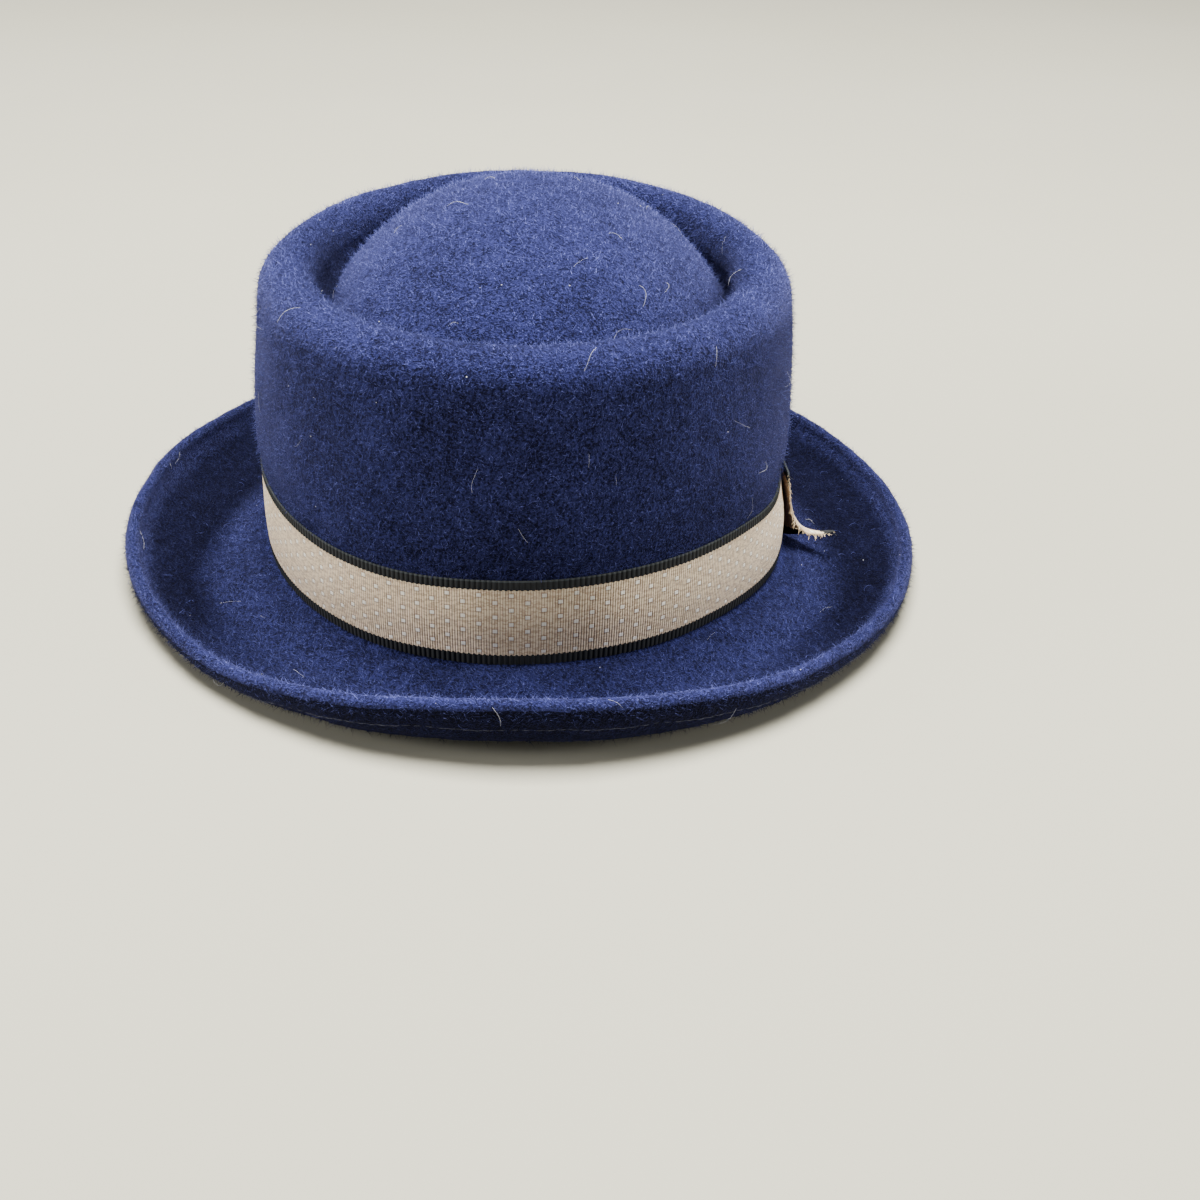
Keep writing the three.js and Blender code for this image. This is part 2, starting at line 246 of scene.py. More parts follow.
def rim_edge(inner, outer):
    """The rim's rounded edge, from the felt's outside over to the welt's."""
    rows, steps = [], 9
    for i in range(1, steps):
        a = math.pi * i / steps
        p = mix(inner, outer, (1 - math.cos(a)) / 2)
        p = p + np.array([0, 0, (FELT + WELT) / 2 * math.sin(a)])
        rows.append(p)
    return np.stack(rows)


def torus_faces(rows, columns, closed_rows=False):
    """Quads of a grid that closes in its columns."""
    i = np.arange(rows if closed_rows else rows - 1)[:, None]
    j = np.arange(columns)[None, :]
    a, b = i * columns + j, i * columns + (j + 1) % columns
    nxt = (i + 1) % rows
    c, d = nxt * columns + (j + 1) % columns, nxt * columns + j
    return np.stack([a, d, c, b], -1).reshape(-1, 4)


def link(name, data):
    ob = bpy.data.objects.new(name, data)
    bpy.context.scene.collection.objects.link(ob)
    return ob


def mesh_object(name, points, quads=None, triangles=None, weave=None):
    """A mesh piece from points in millimetres. weave: the ribbon's own coordinates at each point."""
    mesh = bpy.data.meshes.new(name)
    quads = np.zeros((0, 4), int) if quads is None else np.asarray(quads)
    triangles = np.zeros((0, 3), int) if triangles is None else np.asarray(triangles)
    points = np.asarray(points, float).reshape(-1, 3) * MM
    loops = np.concatenate([quads.ravel(), triangles.ravel()]).astype(np.int32)
    totals = np.concatenate([np.full(len(quads), 4), np.full(len(triangles), 3)]).astype(np.int32)
    starts = np.concatenate([[0], np.cumsum(totals)[:-1]]).astype(np.int32)
    mesh.vertices.add(len(points))
    mesh.vertices.foreach_set("co", points.astype(np.float32).ravel())
    mesh.loops.add(len(loops))
    mesh.loops.foreach_set("vertex_index", loops)
    mesh.polygons.add(len(totals))
    mesh.polygons.foreach_set("loop_start", starts)
    mesh.update(calc_edges=True)
    mesh.validate()
    mesh.polygons.foreach_set("use_smooth", np.full(len(mesh.polygons), True))
    if weave is not None:
        layer = mesh.attributes.new("weave", "FLOAT_VECTOR", "POINT")
        layer.data.foreach_set("vector", np.asarray(weave, np.float32).ravel())
    mesh.update()
    ob = link(name, mesh)
    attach(ob, "root")
    return ob


def felt_grids():
    """The felt's outside and its normals, the count of rows on the crown, and the row where it rests."""
    t = TURN * np.arange(COLUMNS) / COLUMNS
    crown = crown_grid(t)
    brim, rest_from = brim_grid(t)
    outside = np.concatenate([crown, brim])
    normals = grid_normals(outside, True)
    # Hand blocking leaves the felt slightly uneven. What rests on the floor stays flat.
    broad, fine = waves(3, 26, 80), waves(5, 5, 13, 40)
    uneven = 0.32 * broad(outside) + 0.10 * fine(outside)
    rest = len(crown) + rest_from
    calm = np.ones(len(outside))
    calm[rest - 3 : rest + 6] = (0.5, 0.25, 0.1, 0.05, 0.05, 0.1, 0.25, 0.5, 0.8)
    # The band holds the felt even where it lies.
    above_foot = outside[..., 2] - band_foot(t)
    on_crown = (np.arange(len(outside)) < len(crown))[:, None]
    pressed = smooth((above_foot + 4) / 4) * smooth((RIBBON_WIDTH + 5 - above_foot) / 5) * on_crown
    outside = outside + normals * (uneven * calm[:, None] * (1 - 0.85 * pressed))[..., None]
    normals = grid_normals(outside, True)
    return outside, normals, len(crown), rest


outside, outside_normals, crown_rows, rest_row = felt_grids()
welt_from = len(outside) - WELT_ROWS


def felt_reverse():
    """The shell's other side: the reverse of the felt, the welt's face and the rounded rim."""
    inside = outside - outside_normals * FELT
    # Flat where it rests: the underside never reaches below the floor.
    inside[rest_row : rest_row + 3, :, 2] = 0
    inside[..., 2] = np.maximum(inside[..., 2], 0)
    welt = outside[welt_from:] - outside_normals[welt_from:] * (FELT + WELT)
    return inside, welt, rim_edge(outside[-1], welt[-1])


inside, welt, edge = felt_reverse()
skin = np.concatenate([outside, edge, welt[::-1]])
skin[..., 2] = np.maximum(skin[..., 2], 0)
skin_normals = grid_normals(skin, True)
face_row = len(outside) + len(edge)  # the welt's outer face starts here
# Only every other row of the inside is kept.
kept_rows = np.unique(np.r_[0 : welt_from + 1 : 2, welt_from])


def felt_shell():
    """Outside, edge, welt and reverse as one closed mesh, with a fan of triangles at the dome's top."""
    loops = np.concatenate([skin, inside[kept_rows][::-1]])
    columns = loops.shape[1]
    top_out = np.append(outside[0].mean(0)[:2], outside[0][:, 2].mean() + 0.05)
    top_in = top_out - [0, 0, FELT]
    points = np.concatenate([loops.reshape(-1, 3), [top_out, top_in]])
    quads = torus_faces(len(loops), columns)
    j = np.arange(columns)
    last = (len(loops) - 1) * columns
    fan = np.stack([np.full(columns, len(points) - 2), j, (j + 1) % columns], -1)
    fan_in = np.stack([np.full(columns, len(points) - 1), last + (j + 1) % columns, last + j], -1)
    return mesh_object("felt_shell", points, quads, np.concatenate([fan, fan_in]))


def run_along(points):
    """Distance along a line of points, at each point."""
    return np.append(0, np.cumsum(np.linalg.norm(np.diff(points, axis=0), axis=1)))


# The middle line of the band: angles, and the distance along it from the wearer's left.
BAND_OUT = 1.55
OVAL_ANGLES = np.linspace(0, TURN, 4001)
OVAL_RUN = run_along(on_oval(BAND_OUT, 0.0, OVAL_ANGLES))


# ---- Node helpers ----
class Nodes:
    """A small builder for a material's node tree: values are numbers or sockets."""

    def __init__(self, name):
        self.material = bpy.data.materials.new(name)
        self.material.use_nodes = True
        self.tree = self.material.node_tree
        self.tree.nodes.clear()

    def add(self, kind, **settings):
        node = self.tree.nodes.new(kind)
        for key, value in settings.items():
            setattr(node, key, value)
        return node

    def put(self, socket, value):
        if isinstance(value, bpy.types.NodeSocket):
            self.tree.links.new(value, socket)
        elif value is not None:
            socket.default_value = value

    def place(self):
        return self.add("ShaderNodeTexCoord").outputs["Object"]

    def math(self, operation, a, b=None, c=None):
        node = self.add("ShaderNodeMath", operation=operation)
        for socket, value in zip(node.inputs, (a, b, c)):
            self.put(socket, value)
        return node.outputs[0]

    def product(self, first, *others):
        for other in others:
            first = self.math("MULTIPLY", first, other)
        return first

    def root_of_squares(self, a, b):
        return self.math("SQRT", self.math("ADD", self.product(a, a), self.product(b, b)))

    def off_middle(self, value, pitch):
        """Distance from the middle of the repeat that the value is in."""
        repeat = self.math("MULTIPLY", self.math("FRACT", self.math("DIVIDE", value, pitch)), pitch)
        return self.math("ABSOLUTE", self.math("SUBTRACT", repeat, pitch / 2))

    def noise(self, coordinates, scale, detail, roughness, distortion=0.0):
        node = self.add("ShaderNodeTexNoise")
        self.put(node.inputs["Vector"], coordinates)
        node.inputs["Scale"].default_value = scale
        node.inputs["Detail"].default_value = detail
        node.inputs["Roughness"].default_value = roughness
        node.inputs["Distortion"].default_value = distortion
        return node.outputs["Fac"]

    def ramp(self, value, low, high, out_low=0.0, out_high=1.0, smooth_step=True):
        node = self.add("ShaderNodeMapRange", clamp=True)
        node.interpolation_type = "SMOOTHSTEP" if smooth_step else "LINEAR"
        for socket, x in zip(node.inputs, (value, low, high, out_low, out_high)):
            self.put(socket, x)
        return node.outputs[0]

    def blend(self, factor, a, b, kind="MIX"):
        node = self.add("ShaderNodeMix", data_type="RGBA", blend_type=kind)
        self.put(node.inputs["Factor"], factor)
        self.put(node.inputs[6], rgba(a))
        self.put(node.inputs[7], rgba(b))
        return node.outputs[2]

    def either(self, factor, a, b):
        node = self.add("ShaderNodeMix", data_type="FLOAT")
        for socket, value in zip(node.inputs, (factor, None, a, b)):
            self.put(socket, value)
        return node.outputs[0]

    def bump(self, height, strength, distance):
        node = self.add("ShaderNodeBump")
        node.inputs["Strength"].default_value = strength
        node.inputs["Distance"].default_value = distance
        self.put(node.inputs["Height"], height)
        return node.outputs[0]

    def from_oval(self, x, y, half_width, half_length):
        """Millimetres outside an oval round the origin, from places in metres, and the oval's sine there."""
        across, along = self.math("DIVIDE", x, half_width * MM), self.math("DIVIDE", y, half_length * MM)
        share = self.root_of_squares(across, along)
        far = self.root_of_squares(x, y)
        out = self.math("MULTIPLY", self.math("SUBTRACT", far, self.math("DIVIDE", far, share)), 1 / MM)
        return out, self.math("DIVIDE", along, share)

    def finish(self, color, roughness, normal, **sockets):
        """The material with a Principled shader; sockets are more of its inputs by name."""
        shader = self.add("ShaderNodeBsdfPrincipled")
        self.put(shader.inputs["Base Color"], rgba(color))
        self.put(shader.inputs["Roughness"], roughness)
        self.put(shader.inputs["Normal"], normal)
        for key, value in sockets.items():
            self.put(shader.inputs[key.replace("_", " ")], value)
        out = self.add("ShaderNodeOutputMaterial")
        self.tree.links.new(shader.outputs[0], out.inputs[0])
        return self.material


def rgba(color):
    return (*color, 1.0) if isinstance(color, tuple) and len(color) == 3 else color


# ---- Materials ----
def strokes(n, place, scale, turns, low, high):
    """Short bright strokes that cross one another: the visible fibres of wool felt."""
    lines = None
    for turn in turns:
        node = n.add("ShaderNodeMapping", vector_type="TEXTURE")
        n.put(node.inputs["Vector"], place)
        node.inputs["Rotation"].default_value = turn
        node.inputs["Scale"].default_value = (1.0, 1.0, 4.5)
        line = n.ramp(n.noise(node.outputs[0], scale, 1.0, 0.5, 0.4), low, high)
        lines = line if lines is None else n.math("MAXIMUM", lines, line)
    return lines


def moat_painted_shade(n, x, y, z):
    """Painted shade in the moat between ring and dome, less towards the back."""
    out, sine = n.from_oval(x, y, CROWN_HALF_WIDTH, CROWN_HALF_LENGTH)
    beside = n.math("SUBTRACT", out, WALL_TAPER - RING_RADIUS - RING_INNER_RADIUS - 1.1)
    beside = n.math("MULTIPLY", beside, n.either(n.math("GREATER_THAN", beside, 0.0), 1.7, 0.8))
    above = n.math("MULTIPLY", n.math("MULTIPLY_ADD", z, 1 / MM, -MOAT_HEIGHT), 0.5)
    far = n.root_of_squares(beside, above)
    depth = n.math("MULTIPLY", n.ramp(far, 3.0, 15.0, 1, 0), n.ramp(sine, 0.05, 0.6, 0.76, 0.28))
    return n.math("SUBTRACT", 1.0, depth)


def brim_painted_shade_and_highlight(n, x, y, _):
    """Painted shade inside the roll, least at the front, and a painted highlight on the rim's crest at the front."""
    out, sine = n.from_oval(x, y, RIM_HALF_WIDTH, RIM_HALF_LENGTH)
    wider = n.math("ADD", out, n.ramp(sine, -0.5, 0.3, 0, 13))
    inside = n.math("MULTIPLY", n.ramp(out, -9.5, -2.0, 1, 0), n.ramp(wider, -31, -16, 0, 1))
    aside = n.ramp(sine, -1.0, -0.45, 0.1, 1.0)
    tone = n.math("SUBTRACT", 1.0, n.product(inside, aside, 0.78))
    crest_highlight = n.math("MULTIPLY", n.ramp(out, -6.0, -3.0), n.ramp(sine, -0.93, -0.6, 1, 0))
    return n.math("MULTIPLY_ADD", crest_highlight, 0.65, tone)


def felt_material(name, dark, light, sheen, paint_light_by_place=None):
    """Felt or its nap: dark and light are its colours; the function by place paints shade over the hat, and a highlight
    at the brim's front crest.
    """
    n = Nodes(name)
    gloss = 0.08
    place = n.place()
    broad = n.noise(place, 30, 3, 0.55)
    mottle = n.noise(place, 240, 3, 0.6)
    fleck = n.noise(place, 1300, 2, 0.65, 0.6)
    turns = ((0.3, 0.2, 0.0), (1.3, 0.4, 0.9), (0.5, 1.4, 2.1), (1.2, 1.1, 0.2))
    lines = strokes(n, place, 1500, turns, 0.56, 0.72)
    tone = n.math("MULTIPLY_ADD", n.math("SUBTRACT", fleck, 0.5), 2.2, 0.22)
    tone = n.math("MULTIPLY_ADD", lines, 0.55, tone)
    tone = n.math("MULTIPLY_ADD", n.math("SUBTRACT", mottle, 0.5), 0.8, tone)
    tone = n.math("MULTIPLY_ADD", n.math("SUBTRACT", broad, 0.5), 0.6, tone)
    color = n.blend(n.ramp(tone, 0.0, 1.0, smooth_step=False), dark, light)
    if paint_light_by_place:
        # Painted shade, and a painted highlight at the brim's front crest, by place on the hat.
        parts = n.add("ShaderNodeSeparateXYZ")
        n.put(parts.inputs[0], place)
        painted_factor = paint_light_by_place(n, *parts.outputs)
        color = n.blend(1.0, color, painted_factor, "MULTIPLY")
        # The sheen and gloss follow the painted shade and highlight as well.
        shaded_shine = n.math("MULTIPLY_ADD", painted_factor, 0.8, 0.2)
        sheen, gloss = n.product(shaded_shine, sheen), n.product(shaded_shine, gloss)
    height = n.math("MULTIPLY_ADD", mottle, 0.6, n.math("MULTIPLY_ADD", fleck, 0.6, n.product(lines, 0.5)))
    normal = n.bump(height, 0.8, 0.0006)
    blue = (0.36, 0.38, 1.0, 1.0)
    return n.finish(
        color, 0.96, normal, Specular_IOR_Level=gloss, Sheen_Weight=sheen, Sheen_Roughness=0.4, Sheen_Tint=blue
    )


def ribbon_material(name):
    """Jacquard ribbon: ribbed champagne centre with satin dots, and dark ribbed borders."""
    n = Nodes(name)
    weave = n.add("ShaderNodeSeparateXYZ")
    attribute = n.add("ShaderNodeAttribute", attribute_name="weave", attribute_type="GEOMETRY")
    n.put(weave.inputs[0], attribute.outputs["Vector"])
    x, y, side = weave.outputs
    # Borders: the boundary steps with every second rib.
    border_phase = n.math("FRACT", n.math("DIVIDE", x, RIB * 2))
    tooth = n.ramp(n.math("PINGPONG", border_phase, 0.5), 0.2, 0.3)
    in_low = n.math("LESS_THAN", n.math("MULTIPLY_ADD", tooth, -0.34, y), BORDER_LOW - 0.17)
    in_high = n.math("GREATER_THAN", n.math("MULTIPLY_ADD", tooth, 0.22, y), BORDER_HIGH + 0.1)
    border = n.math("MAXIMUM", in_low, in_high)
    # Ribs: rounded warps with dark gaps, crossed by picks.
    ribs = n.math("DIVIDE", x, RIB)
    rib = n.math("SINE", n.product(n.math("FRACT", ribs), math.pi))
    wide = n.math("SINE", n.product(border_phase, math.pi))
    odd_rib = n.math("MODULO", n.math("FLOOR", ribs), 2.0)
    pick = n.math("ABSOLUTE", n.math("SINE", n.product(y, math.pi / 0.42)))
    # Dots: a square of satin every six ribs, every other column shifted by half a step.
    column, step = RIB * 6, 4.86
    odd_column = n.math("MODULO", n.math("FLOOR", n.math("DIVIDE", x, column)), 2.0)
    across = n.off_middle(x, column)
    up = n.math("MULTIPLY_ADD", odd_column, step / 2, n.math("SUBTRACT", y, BORDER_LOW + 1.1))
    down = n.off_middle(up, step)
    inside = n.product(n.math("GREATER_THAN", y, BORDER_LOW + 0.7), n.math("LESS_THAN", y, BORDER_HIGH - 0.7))
    dot = n.product(n.ramp(across, 0.55, 0.78, 1, 0), n.ramp(down, 0.5, 0.72, 1, 0), inside)
    halo = n.product(n.ramp(across, 0.8, 1.15, 1, 0), n.ramp(down, 0.75, 1.1, 1, 0), inside)
    # Yarn variation from point to point.
    place = n.place()
    yarn = n.noise(place, 1500, 2, 0.6)
    patch = n.noise(place, 120, 2, 0.5)
    grain = n.math("ABSOLUTE", n.math("SINE", n.product(n.math("MULTIPLY_ADD", odd_rib, 0.45, y), math.pi / 0.9)))
    # Slubs: short light and dark lengths of yarn, a few ribs wide.
    thread = n.add("ShaderNodeCombineXYZ")
    n.put(thread.inputs[0], n.product(x, 0.50))
    n.put(thread.inputs[1], n.product(y, 1.05))
    slub = n.ramp(n.noise(thread.outputs[0], 1.0, 1, 0.5), 0.41, 0.59)
    yarn_light = n.math("MULTIPLY_ADD", grain, 0.24, n.math("MULTIPLY_ADD", slub, 0.74, 0.42))
    light = n.product(n.math("POWER", rib, 0.85), yarn_light)
    cream = n.blend(light, (0.34, 0.20, 0.10), (1.0, 0.83, 0.58))
    cream = n.blend(n.product(n.ramp(pick, 0.0, 0.6, 1, 0), 0.2), cream, (0.45, 0.30, 0.20))
    cream = n.blend(n.product(n.ramp(yarn, 0.35, 0.75), 0.25), cream, (0.60, 0.40, 0.26))
    cream = n.blend(n.product(n.ramp(patch, 0.4, 0.7), 0.15), cream, (0.90, 0.72, 0.56))
    # Painted shade: a dark rim round each raised dot.
    cream = n.blend(n.product(n.math("SUBTRACT", halo, dot), 0.75), cream, (0.26, 0.14, 0.07))
    cream = n.blend(dot, cream, (1.0, 0.95, 0.84))
    # Painted shade: the band is darker at its front middle, where the satin takes less light.
    front = OVAL_RUN[-1] * 0.75 + 10
    cream = n.blend(1.0, cream, n.ramp(n.math("ABSOLUTE", n.math("SUBTRACT", x, front)), 11, 27, 0.70, 1.0), "MULTIPLY")
    reverse = n.blend(rib, (0.24, 0.125, 0.055), (0.56, 0.34, 0.17))
    cream = n.blend(n.math("GREATER_THAN", side, 0.5), cream, reverse)
    dark = n.blend(wide, (0.001, 0.0012, 0.0015), (0.0085, 0.0105, 0.012))
    # Painted highlight: the top edge of the upper border is a little lighter, as if lit from above.
    dark = n.blend(n.math("GREATER_THAN", y, RIBBON_WIDTH - 0.45), dark, (0.030, 0.036, 0.040))
    color = n.blend(border, cream, dark)
    # Relief: the ribs give way to the raised dots, and the borders' ribs are higher.
    rib_relief = n.product(rib, n.math("SUBTRACT", 1.0, n.product(dot, 0.8)))
    height = n.math("MULTIPLY_ADD", pick, 0.18, n.math("ADD", rib_relief, n.product(dot, 1.3)))
    height = n.either(border, height, n.product(wide, 1.7))
    normal = n.bump(n.math("MULTIPLY_ADD", yarn, 0.25, height), 0.9, 0.0002)
    roughness = n.math("MULTIPLY_ADD", dot, -0.1, n.math("MULTIPLY_ADD", yarn, 0.12, 0.32))
    roughness = n.either(border, roughness, 0.85)
    sheen = n.product(n.math("SUBTRACT", 1.0, border), 0.30)
    return n.finish(color, roughness, normal, Specular_IOR_Level=0.4, Sheen_Weight=sheen, Sheen_Roughness=0.45)


def thread_material(name, dark, light, rough):
    n = Nodes(name)
    tone = n.noise(n.place(), 900, 3, 0.6)
    color = n.blend(n.ramp(tone, 0.3, 0.7), dark, light)
    return n.finish(color, rough, n.bump(tone, 0.3, 0.0001), Specular_IOR_Level=0.3, Sheen_Weight=0.2)


def floor_material():
    n = Nodes("pale_floor")
    place = n.place()
    tone = n.noise(place, 3, 3, 0.5)
    color = n.blend(n.ramp(tone, 0.3, 0.7), (0.304, 0.293, 0.232), (0.314, 0.303, 0.242))
    return n.finish(color, 0.8, n.bump(n.noise(place, 600, 2, 0.5), 0.05, 0.0003), Specular_IOR_Level=0.2)


felt = felt_material("navy_wool_felt", (0.0010, 0.0014, 0.010), (0.021, 0.024, 0.100), 0.15, moat_painted_shade)
nap = felt_material("navy_wool_nap", (0.011, 0.014, 0.072), (0.135, 0.150, 0.43), 0.12, moat_painted_shade)
# The brim's felt and nap are darker than the crown's: painted shade, for the light the crown keeps off the brim.
brim_felt = felt_material("navy_wool_brim", (0.0008, 0.0011, 0.008), (0.013, 0.015, 0.066), 0.12, brim_painted_shade_and_highlight)
brim_nap = felt_material("navy_wool_brim_nap", (0.007, 0.009, 0.046), (0.080, 0.090, 0.26), 0.12, brim_painted_shade_and_highlight)
# The welt's outer face is darkest of all: painted shade on the outside of the roll, which faces down and out.
welt_felt = felt_material("navy_wool_welt", (0.0003, 0.0004, 0.003), (0.004, 0.005, 0.026), 0.06)
welt_nap = felt_material("navy_wool_welt_nap", (0.0022, 0.0030, 0.016), (0.024, 0.028, 0.095), 0.06)
ribbon = ribbon_material("champagne_ribbon")
selvedge = thread_material("dark_selvedge", (0.002, 0.0025, 0.003), (0.02, 0.024, 0.026), 0.7)
lint = thread_material("pale_lint", (0.35, 0.36, 0.45), (0.75, 0.76, 0.80), 0.8)
fray = thread_material("champagne_fray", (0.50, 0.36, 0.20), (0.92, 0.76, 0.50), 0.6)
stitch_thread = thread_material("welt_thread", (0.012, 0.014, 0.030), (0.06, 0.065, 0.11), 0.7)

shell = felt_shell()
for material in (felt, brim_felt, welt_felt):
    shell.data.materials.append(material)
zone = np.zeros(len(shell.data.polygons), np.int32)
zone[crown_rows * COLUMNS : face_row * COLUMNS] = 1
zone[face_row * COLUMNS : (len(skin) + (kept_rows >= crown_rows).sum()) * COLUMNS] = 2
shell.data.polygons.foreach_set("material_index", zone)
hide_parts("felt_body")


# ---- Nap ----
def oval_angle(p):
    return np.arctan2(p[:, 1] / CROWN_HALF_LENGTH, p[:, 0] / CROWN_HALF_WIDTH)


def unit(v):
    return v / np.linalg.norm(v, axis=1, keepdims=True)


def surface_samples(count, first_row, last_row):
    """Random points with normals on the skin's rows, even over its area."""
    g, m = skin[first_row:last_row], skin_normals[first_row:last_row]
    a, b = g[:-1], g[1:]
    side = np.roll(a, -1, 1) - a
    area = np.linalg.norm(np.cross(b - a, side), axis=2)
    chance = area.ravel() / area.sum()
    cell = rng.choice(len(chance), count, p=chance)
    i, j = np.divmod(cell, g.shape[1])
    u, v = rng.random((2, count, 1))
    k = (j + 1) % g.shape[1]
    p, n = (mix(mix(q[i, j], q[i, k], u), mix(q[i + 1, j], q[i + 1, k], u), v) for q in (g, m))
    return p, unit(n)


def frames(n, comb=None):
    """Two unit tangents for each normal, at a random turn, or mostly along comb."""
    a = unit(np.cross(n, rng.normal(size=n.shape)))
    if comb is not None:
        a = a + comb * rng.choice([-1.8, 1.8], (len(n), 1))
        a = unit(a - n * (a * n).sum(1, keepdims=True))
    return a, np.cross(n, a)


def spikes(name, p, n, length, radius, rise, material, comb):
    """Short straight fibres: each is a closed four-sided sliver that leans off the felt."""
    a, side = frames(n, comb)
    direction = a * np.sqrt(1 - rise**2)[:, None] + n * rise[:, None]
    up = np.cross(direction, side)
    root = 0.15  # how far a fibre starts inside the felt
    base = p - n * root
    r = radius[:, None]
    corners = [base + side * r, base - side * 0.5 * r + up * 0.87 * r, base - side * 0.5 * r - up * 0.87 * r]
    tip = base + direction * (length[:, None] + root)
    points = np.stack([*corners, tip], 1)
    # Fibres under the roll that would pass through the surface it rests on are left out.
    clear = points[:, :, 2].min(1) > 0.05
    points = points[clear].reshape(-1, 3)
    k = np.arange(clear.sum())[:, None] * 4
    faces = np.concatenate([k + f for f in ([0, 2, 1], [0, 1, 3], [1, 2, 3], [2, 0, 3])])
    ob = mesh_object(name, points, triangles=faces)
    # The fibres take the light as the felt under them does, each a little differently.
    lit = unit(n + rng.normal(0, 0.22, n.shape))
    ob.data.normals_split_custom_set_from_vertices(np.repeat(lit[clear], 4, 0))
    ob.data.materials.append(material)


def make_nap():
    # Name, first and last row, count, material, and whether it is combed round the hat.
    zones = (
        ("nap_dome", 0, MOAT_ROW, 27000, nap, False),
        ("nap_ring", MOAT_ROW - 1, WALL_ROW + 2, 36000, nap, False),
        ("nap_wall", WALL_ROW, crown_rows - 2, 48000, nap, False),
        ("nap_brim", crown_rows, welt_from + 2, 38000, brim_nap, False),
        ("nap_rim", welt_from, face_row + 3, 18000, brim_nap, True),
        ("nap_welt", face_row, len(skin), 14000, welt_nap, True),
    )
    for name, first, last, count, wool, combed in zones:
        p, n = surface_samples(count, first, last)
        t = oval_angle(p)
        if name == "nap_wall":
            foot = band_foot(t)
            bare = (p[:, 2] < foot - 0.8) | (p[:, 2] > foot + RIBBON_WIDTH + 0.5 - slack_top(t))
            p, n, t = p[bare], n[bare], t[bare]
        comb = np.stack([-np.sin(t), np.cos(t), 0 * t], -1) if combed else None
        m = len(p)
        # Most fibres lie on the felt, and two in five stand off it.
        stands = rng.random(m) < 0.4
        length = np.where(stands, rng.gamma(4.0, 0.35, m) + 0.35, rng.gamma(3.0, 0.24, m) + 0.35)
        if combed:
            length[~stands] *= 1.5
        rise = np.where(stands, rng.uniform(0.55, 0.99, m), rng.uniform(0.03, 0.4, m))
        radius = np.where(stands, rng.uniform(0.045, 0.095, m), np.clip(rng.gamma(5.0, 0.014, m), 0.03, 0.13))
        spikes(name, p, n, np.minimum(length, 3.0), radius, rise, wool, comb)


make_nap()


# ---- Ribbon band ----
def band_piece():
    """The band as a closed ring with ribs, raised borders and scalloped edges. Returns its length too."""
    run = OVAL_RUN[-1]
    ribs = int(round(run / RIB / 12)) * 12
    columns = ribs * 3
    arc = np.arange(columns) / columns * run
    t = np.interp(arc, OVAL_RUN, OVAL_ANGLES)
    along = arc * (ribs * RIB / run)
    phase = along / RIB
    rib = np.sin(math.pi * (phase % 1.0))
    wide = np.sin(math.pi * ((phase / 2) % 1.0))
    rows, weave = [], []

    def add_row(out, height, y, side):
        rows.append(on_oval(wall_offset(height, t) + out, height, t))
        weave.append(np.stack([along, np.full(columns, y), np.full(columns, side)], -1))

    # Places of the rows up the ribbon's face: closest at its edges and where the borders end.
    face_rows = (0.0, 0.12, 0.5, 1.2, 2.2, 3.2, 3.6, 6, 10, 14.4, 19, 23, 25.7, 26.1, 27, 27.9, 28.5, 28.8, 28.9)
    for y in face_rows:
        in_border = y < BORDER_LOW or y > BORDER_HIGH
        edge = min(y, RIBBON_WIDTH - y)
        relief = (wide * 0.14 if in_border else rib * 0.08) - 0.05
        round_off = 0.15 * max(0.0, 1 - edge / 0.3) ** 2
        scallop = 0.10 * wide * max(0.0, 1 - edge / 0.6) * (1 if y > RIBBON_WIDTH / 2 else -1)
        add_row(BAND_GAP + RIBBON + relief - round_off, band_height(y, t, scallop), y, 0.0)
    for y in (28.8, 14.4, 0.1):
        add_row(BAND_GAP, band_height(y, t), y, 1.0)
    grid = np.stack(rows)
    grid[..., 2] += 0.18 * waves(17, 30, 90, 12)(grid)
    ob = mesh_object("ribbon_band", grid, torus_faces(len(grid), columns, True)[:, ::-1], weave=np.stack(weave))
    ob.data.materials.append(ribbon)
    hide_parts("hat_band")
    return ob, run


band, band_length = band_piece()


# ---- Bow ----
BAND_OUTSIDE = BAND_GAP + RIBBON
LAYER = BOW_RIBBON + GAP


def band_middle(t):
    return band_foot(t) + RIBBON_WIDTH / 2 - slack_top(t) / 2


def half_height(past):
    """Half the width of the pinched ribbon at this angle past the knot."""
    return mix(WAIST_HALF_HEIGHT, RIBBON_WIDTH / 2, smooth(past / OPENING))


def spline(points, k):
    """Centripetal Catmull-Rom through points, at shares k of its spans."""
    p = np.asarray(points, float)
    p = np.concatenate([[2 * p[0] - p[1]], p, [2 * p[-1] - p[-2]]])
    k = np.clip(np.asarray(k, float), 0, 1) * (len(p) - 3)
    i = np.minimum(np.floor(k).astype(int), len(p) - 4)
    f = k - i
    step = np.maximum(np.linalg.norm(np.diff(p, axis=0), axis=1) ** 0.5, 1e-4)
    d1, d2, d3 = step[i][:, None], step[i + 1][:, None], step[i + 2][:, None]
    p0, p1, p2, p3 = p[i], p[i + 1], p[i + 2], p[i + 3]
    m1 = ((p1 - p0) / d1 - (p2 - p0) / (d1 + d2) + (p2 - p1) / d2) * d2
    m2 = ((p2 - p1) / d2 - (p3 - p1) / (d2 + d3) + (p3 - p2) / d3) * d2
    f = f[:, None]
    return p1 + m1 * f + (3 * (p2 - p1) - 2 * m1 - m2) * f**2 + (2 * (p1 - p2) + m1 + m2) * f**3


